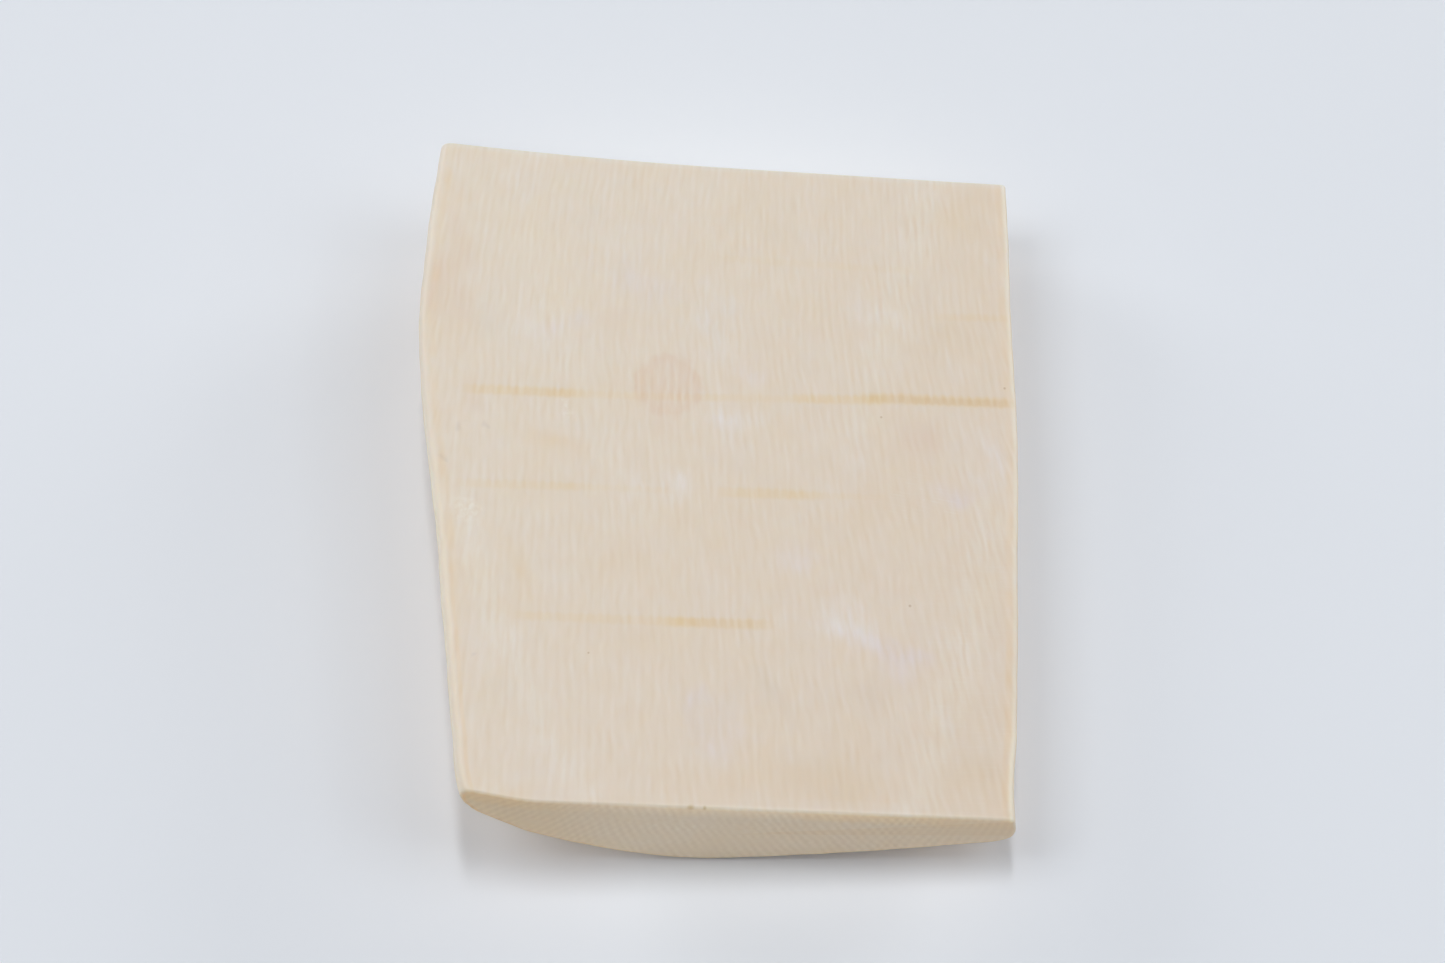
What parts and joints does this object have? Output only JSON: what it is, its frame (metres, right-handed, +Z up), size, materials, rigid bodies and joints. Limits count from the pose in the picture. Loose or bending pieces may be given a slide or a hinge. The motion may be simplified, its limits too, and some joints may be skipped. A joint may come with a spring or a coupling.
{
  "type": "mammoth ivory segment",
  "caption": "Slab sawn lengthwise from a mammoth tusk: flat sawn face, square-cut ends and a rounded natural back, with eased arrises.",
  "frame": {"origin": "centre of the bounding box's base: on the table, under the middle of the piece as it lies on its round back", "axes": "+Y along the tusk, from the front end cut to the rear one; +X across the sawn face to the side that lies lower; +Z up from the table. The sawn face leans 6 degrees down towards +X."},
  "size_m": [0.0944, 0.1142, 0.0257],
  "materials": {
    "ivory": "cream ivory, sanded to a satin sheen, with yellowish outer layer along its edges"
  },
  "bodies": {
    "root": {"ivory_segment": "ivory"}
  },
  "joints": []
}
